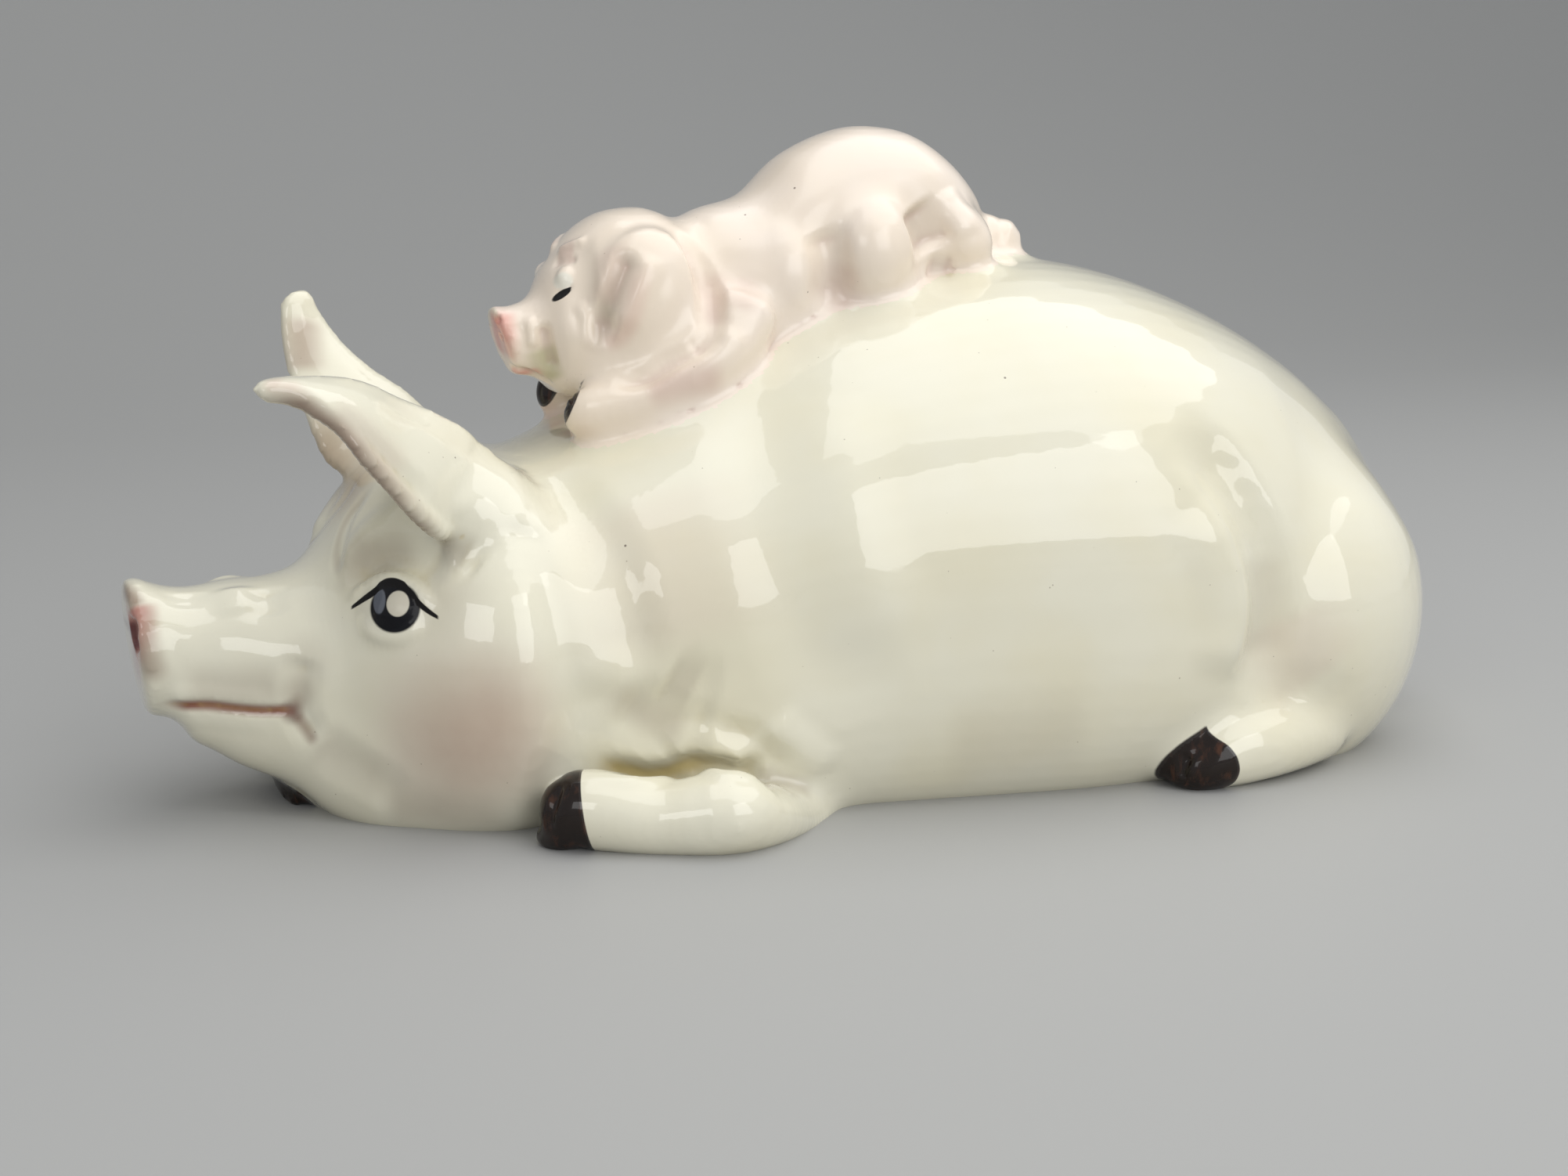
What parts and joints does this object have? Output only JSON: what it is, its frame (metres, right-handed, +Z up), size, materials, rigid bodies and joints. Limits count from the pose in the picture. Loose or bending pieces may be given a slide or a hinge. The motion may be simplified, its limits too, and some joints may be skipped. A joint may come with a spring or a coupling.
{
  "type": "sow and piglet figurine",
  "caption": "Glazed ceramic ornament of a pig family: a plump sow lies on her belly with her snout raised, and a piglet rests along her back.",
  "frame": {"origin": "centre of the flat base, on the plane the figurine rests on", "axes": "+Z up; the sow faces -X, so +X runs from her snout to her rump; +Y is her right side"},
  "size_m": [0.2672, 0.1287, 0.1222],
  "materials": {
    "ivory_glaze": "glossy ivory glaze with airbrushed pink and brown",
    "pink_glaze": "glossy pale pink glaze",
    "nose_glaze": "glossy pinkish brown glaze",
    "piglet_nose_glaze": "glossy coral pink glaze",
    "hoof_glaze": "glossy dark brown glaze"
  },
  "bodies": {
    "root": {"sow_trunk": "ivory_glaze", "sow_head": "ivory_glaze", "sow_nose": "nose_glaze", "sow_ear_left": "ivory_glaze", "sow_ear_right": "ivory_glaze", "sow_foreleg_left": "ivory_glaze", "sow_foreleg_right": "ivory_glaze", "sow_forehoof_left": "hoof_glaze", "sow_forehoof_right": "hoof_glaze", "sow_hind_leg_left": "ivory_glaze", "sow_hind_leg_right": "ivory_glaze", "sow_hind_hoof_left": "hoof_glaze", "sow_hind_hoof_right": "hoof_glaze", "sow_tail": "ivory_glaze", "piglet_head": "pink_glaze", "piglet_nose": "piglet_nose_glaze", "piglet_body": "pink_glaze", "piglet_ear_left": "pink_glaze", "piglet_ear_right": "pink_glaze", "piglet_foreleg_left": "pink_glaze", "piglet_foreleg_right": "pink_glaze", "piglet_forehoof_left": "hoof_glaze", "piglet_forehoof_right": "hoof_glaze", "piglet_hind_leg_left": "pink_glaze", "piglet_hind_leg_right": "pink_glaze", "piglet_tail": "pink_glaze"}
  },
  "joints": []
}
